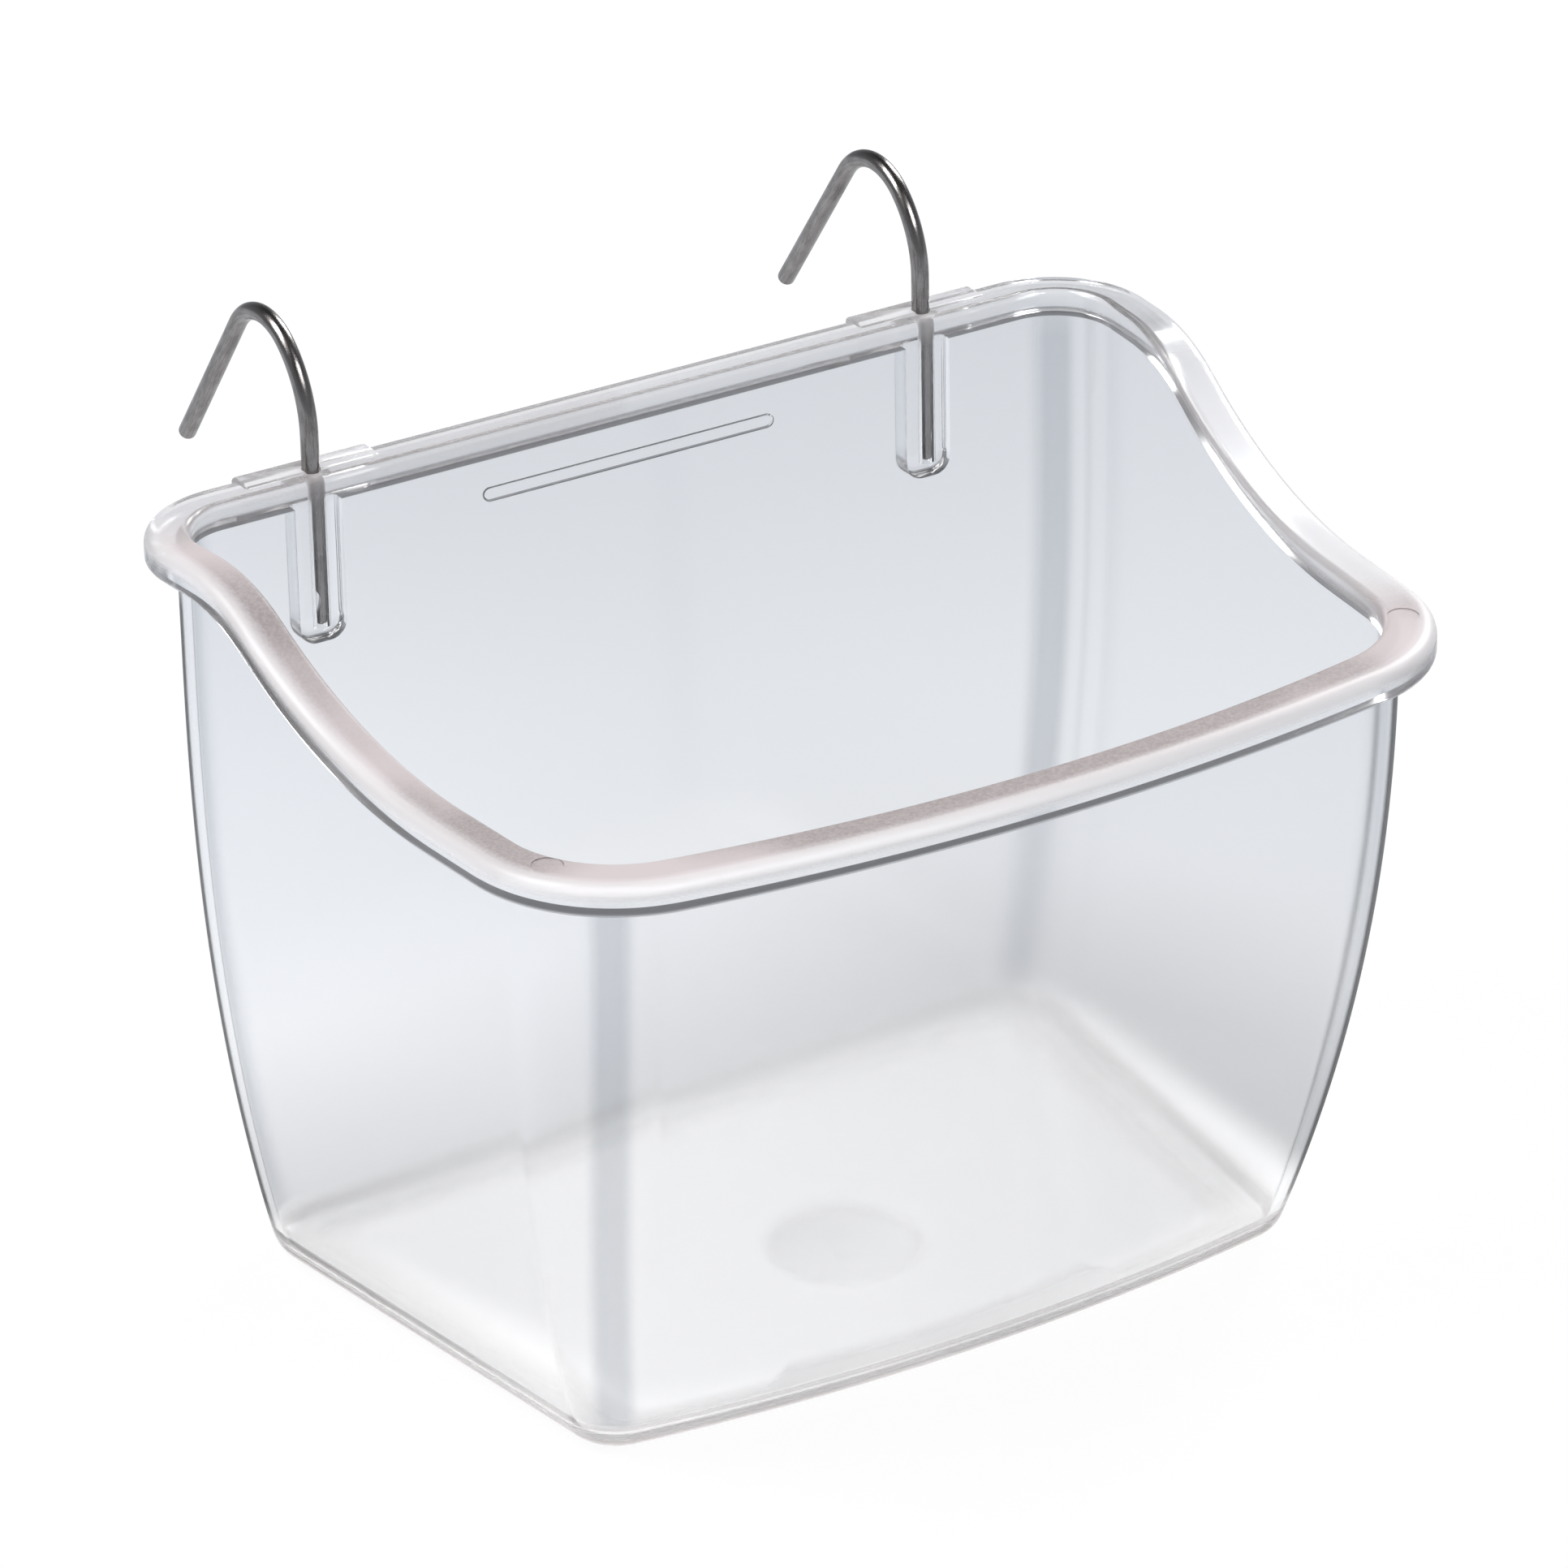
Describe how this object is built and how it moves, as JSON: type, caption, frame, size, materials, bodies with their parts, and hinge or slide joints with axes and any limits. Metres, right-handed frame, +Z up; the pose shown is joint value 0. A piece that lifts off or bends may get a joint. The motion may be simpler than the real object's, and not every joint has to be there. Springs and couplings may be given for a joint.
{
  "type": "hook-on feed cup",
  "caption": "Clear moulded feed cup with a dipped front rim and swivelling wire hooks on the back that hang it on cage wire.",
  "frame": {"origin": "middle of the flat underside of the cup", "axes": "+X to the right along the back wall, -Y the low front of the rim, +Z up"},
  "size_m": [0.1254, 0.116, 0.1053],
  "materials": {
    "clear_plastic": "clear, polished, slightly frosted at the rim",
    "hook_wire": "bright nickel plate with fine drawing marks"
  },
  "bodies": {
    "tub": {"tub": "clear_plastic"},
    "hook_left": {"hook_left": "hook_wire"},
    "hook_right": {"hook_right": "hook_wire"}
  },
  "joints": [
    {"name": "left_hook_swivel", "type": "hinge", "parent": "tub", "child": "hook_left", "pos_m": [-0.039, 0.0351, 0.0785], "axis": [0, 0, 1], "range_deg": [-75, 75]},
    {"name": "right_hook_swivel", "type": "hinge", "parent": "tub", "child": "hook_right", "pos_m": [0.039, 0.0351, 0.0785], "axis": [0, 0, 1], "range_deg": [-75, 75]}
  ]
}
